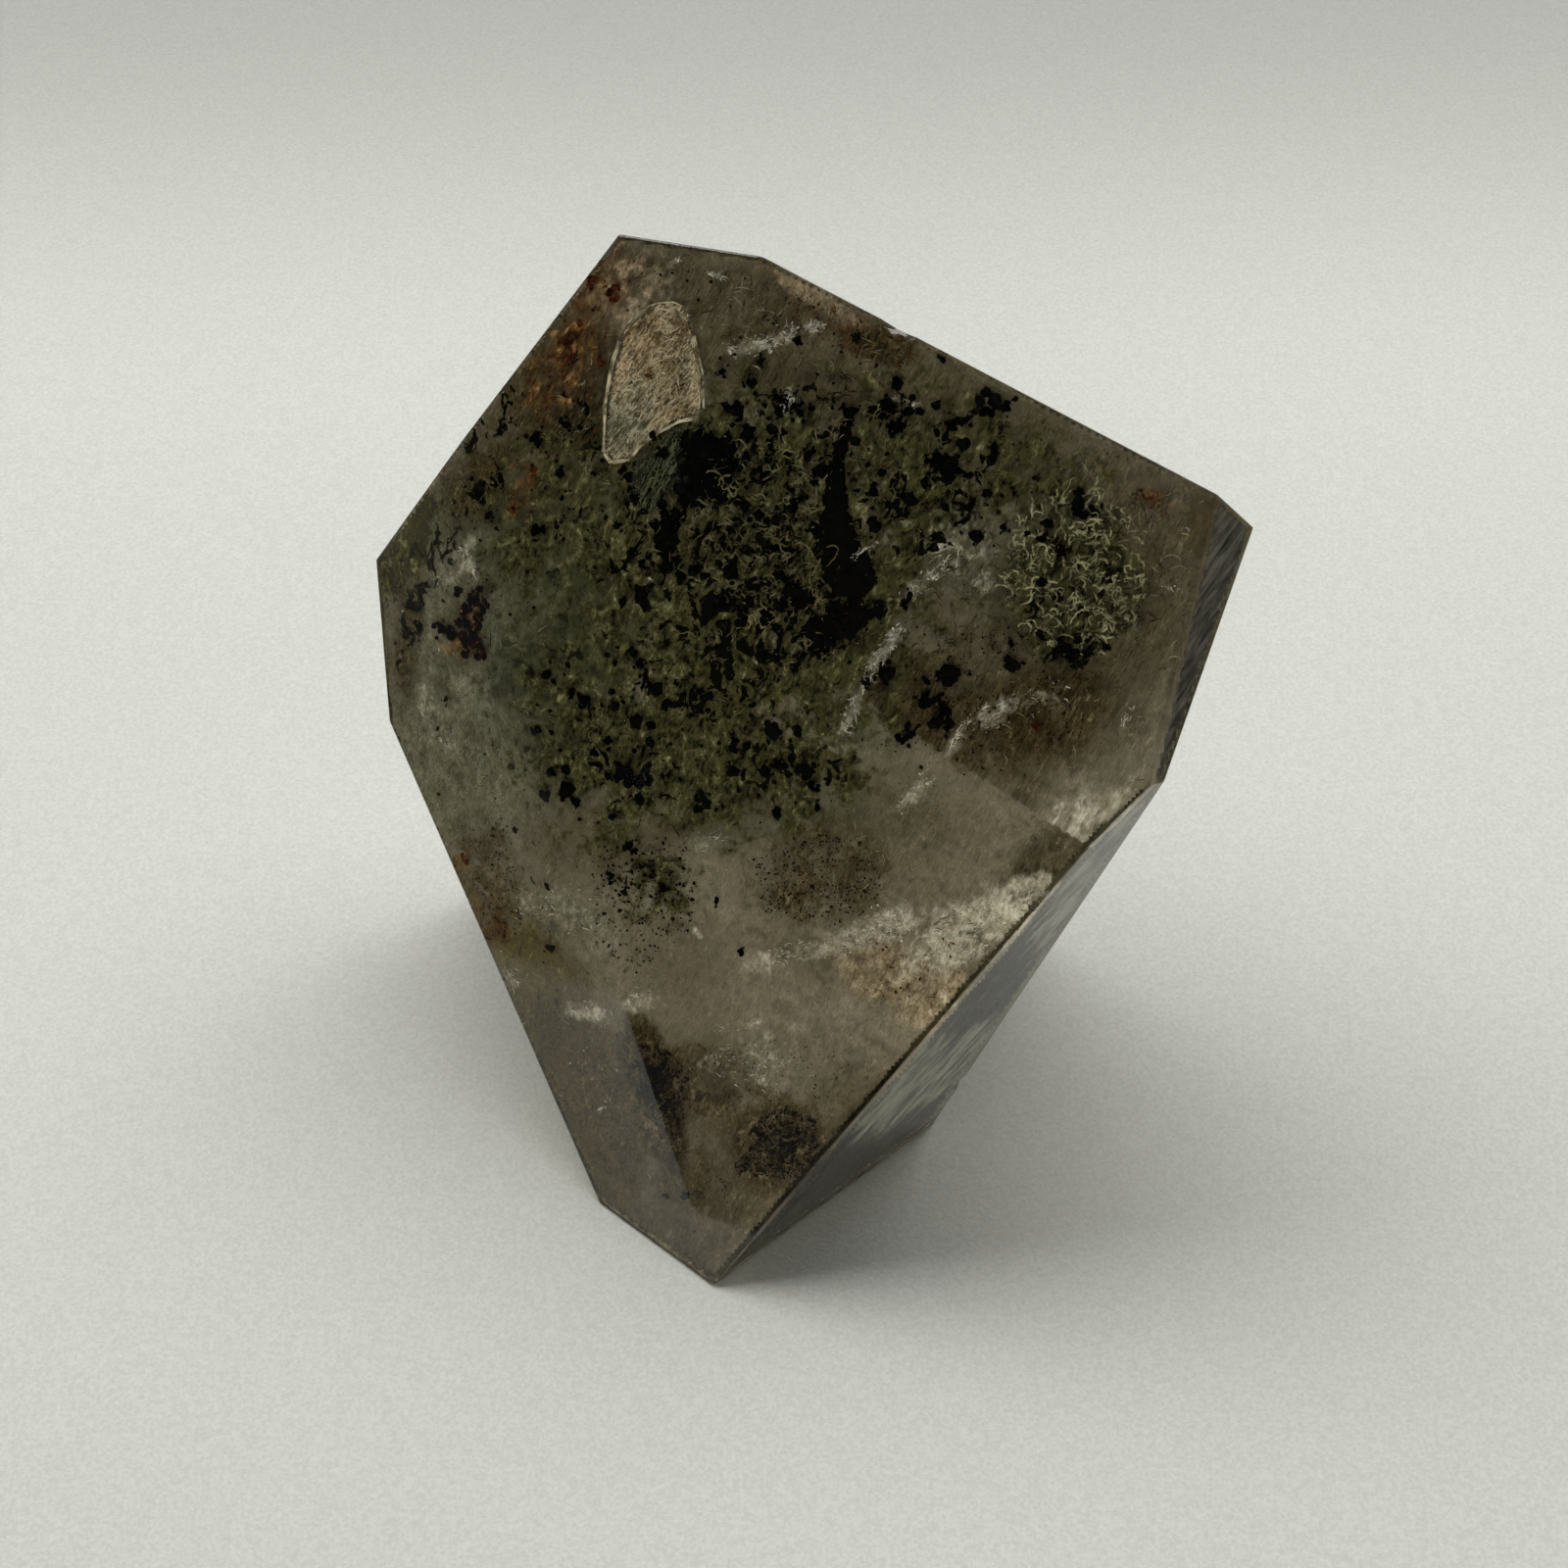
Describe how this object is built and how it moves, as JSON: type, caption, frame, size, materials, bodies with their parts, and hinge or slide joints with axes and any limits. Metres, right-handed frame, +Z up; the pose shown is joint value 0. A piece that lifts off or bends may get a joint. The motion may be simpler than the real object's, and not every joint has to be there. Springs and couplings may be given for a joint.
{
  "type": "garden quartz freeform",
  "caption": "Smoky see-through quartz freeform with green moss-like growth and dark specks inside, cut flat all round and polished, standing on its flat base.",
  "frame": {"origin": "middle of the stone's outline in plan, on the plane of its flat base", "axes": "+Z up from the base; the broad sloping front faces -Y, towards the picture's camera, and the narrow right side faces +X"},
  "size_m": [0.077, 0.0676, 0.0758],
  "materials": {
    "quartz": "polished, clear smoky quartz with dark green growths inside"
  },
  "bodies": {
    "root": {"garden_quartz_freeform": "quartz"}
  },
  "joints": []
}
